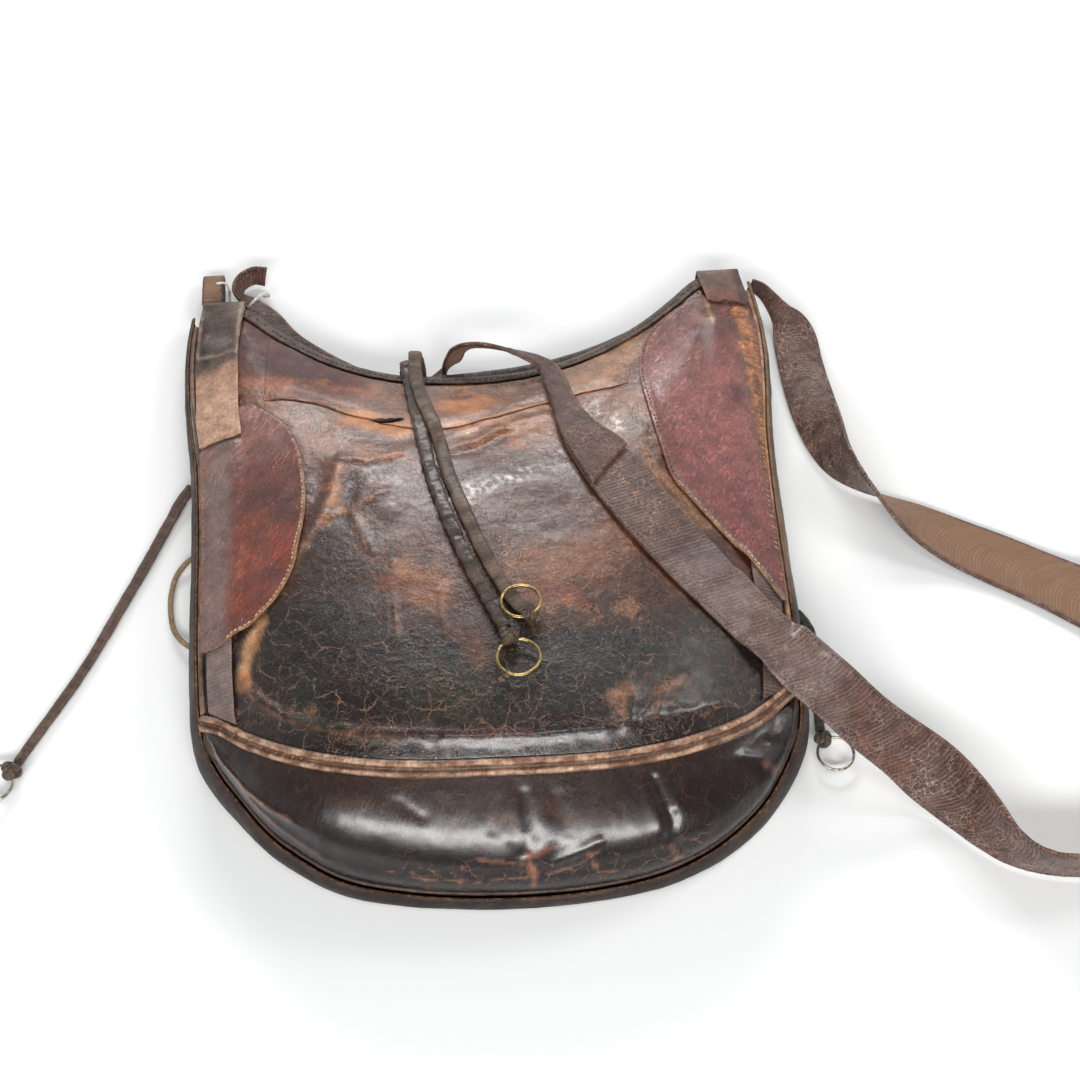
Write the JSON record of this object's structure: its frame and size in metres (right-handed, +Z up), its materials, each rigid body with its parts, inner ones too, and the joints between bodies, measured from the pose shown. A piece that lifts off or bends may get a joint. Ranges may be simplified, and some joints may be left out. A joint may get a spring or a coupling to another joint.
{
  "type": "satchel",
  "caption": "Old leather hunting satchel lying on its back, open dipped mouth, glossy bottom band, long shoulder strap and ringed thongs.",
  "frame": {"origin": "on the flat underside of the back panel, on the bag's middle line", "axes": "+Z up from the floor that the bag lies on, +Y towards the mouth, +X to the right seen from above"},
  "size_m": [0.6357, 0.4217, 0.0831],
  "materials": {
    "front_leather": "old, cracked and polished",
    "glossy_leather": "glossy, creased",
    "red_leather": "fine grain, worn",
    "tan_leather": "worn bare at its edges",
    "strap_leather": "creased, dull",
    "thong_leather": "dull",
    "brass_ring": "tarnished",
    "steel_ring": "dull",
    "white_string": "matt"
  },
  "bodies": {
    "root": {"front_panel": "front_leather", "back_panel": "front_leather", "mouth_facing": "front_leather", "gusset": "glossy_leather", "bottom_band": "glossy_leather", "bottom_welt": "glossy_leather", "front_binding": "glossy_leather", "back_binding": "glossy_leather", "wing_left": "red_leather", "wing_right": "red_leather", "front_piping": "tan_leather", "side_welt_left": "tan_leather", "side_welt_right": "tan_leather", "side_strap_left": "strap_leather", "side_strap_right": "strap_leather", "corner_tab_left": "strap_leather", "corner_tab_right": "strap_leather", "shoulder_strap_narrow": "strap_leather", "shoulder_strap_wide": "strap_leather", "strap_stub": "strap_leather", "string_tie": "white_string", "front_thong_left": "thong_leather", "front_thong_right": "thong_leather", "left_thong": "thong_leather", "left_lace": "thong_leather", "right_thong": "thong_leather", "front_knot_left": "thong_leather", "front_knot_right": "thong_leather", "left_knot": "thong_leather", "right_knot": "thong_leather", "front_ring_left": "brass_ring", "front_ring_right": "brass_ring", "left_ring": "steel_ring", "right_ring": "steel_ring"}
  },
  "joints": []
}
